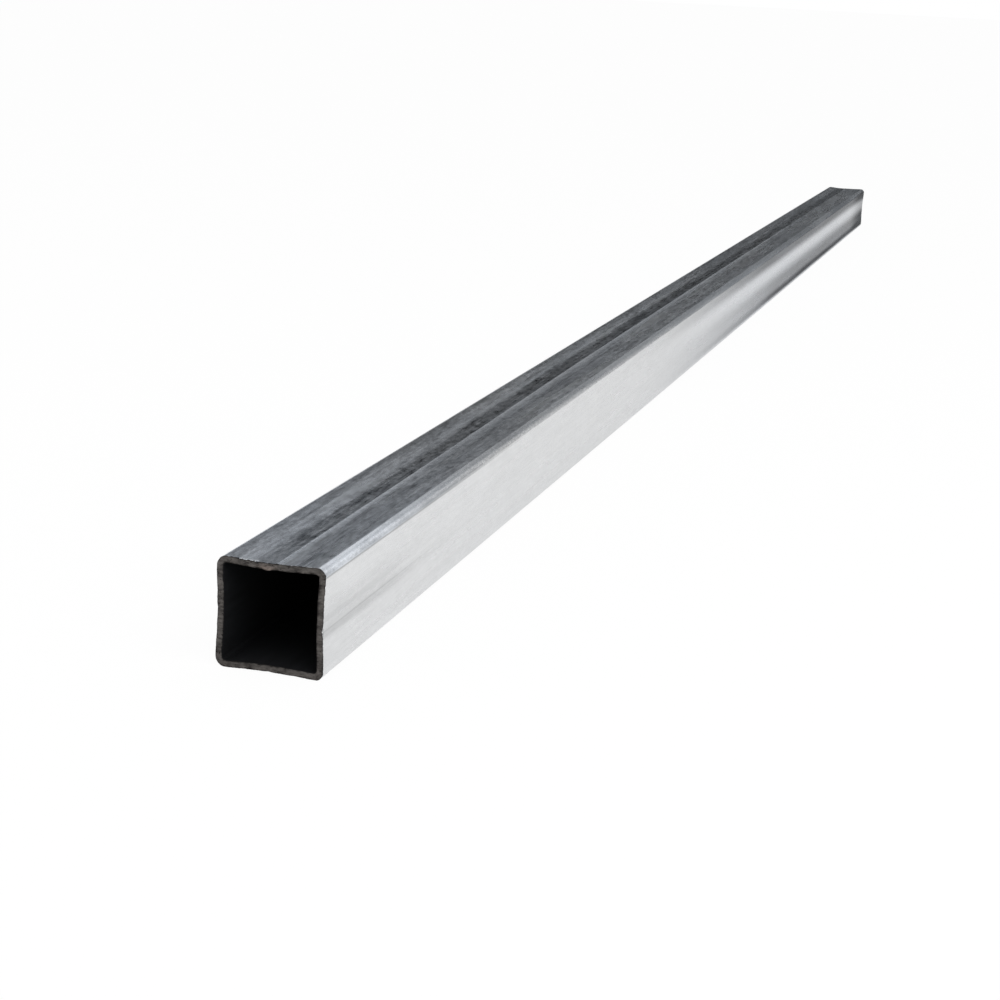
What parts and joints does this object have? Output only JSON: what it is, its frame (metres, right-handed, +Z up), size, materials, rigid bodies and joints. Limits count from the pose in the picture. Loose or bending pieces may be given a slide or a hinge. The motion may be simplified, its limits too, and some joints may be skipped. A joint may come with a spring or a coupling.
{
  "type": "galvanized square structural tube",
  "caption": "Straight length of square hollow steel section with rounded corners, a planed weld seam on top and plain cut open ends, for frames, posts and legs.",
  "frame": {"origin": "middle of the underside, on the surface that the tube lies on", "axes": "+X along the tube, away from the pictured end; +Y across, away from the pictured bright side; +Z up, out of the side with the weld seam"},
  "size_m": [1, 0.025, 0.025],
  "materials": {
    "zinc_coated_steel": "hot-dip galvanized strip, rolled and seam welded, bare steel at the cut ends, dark bore"
  },
  "bodies": {
    "root": {"tube": "zinc_coated_steel"}
  },
  "joints": []
}
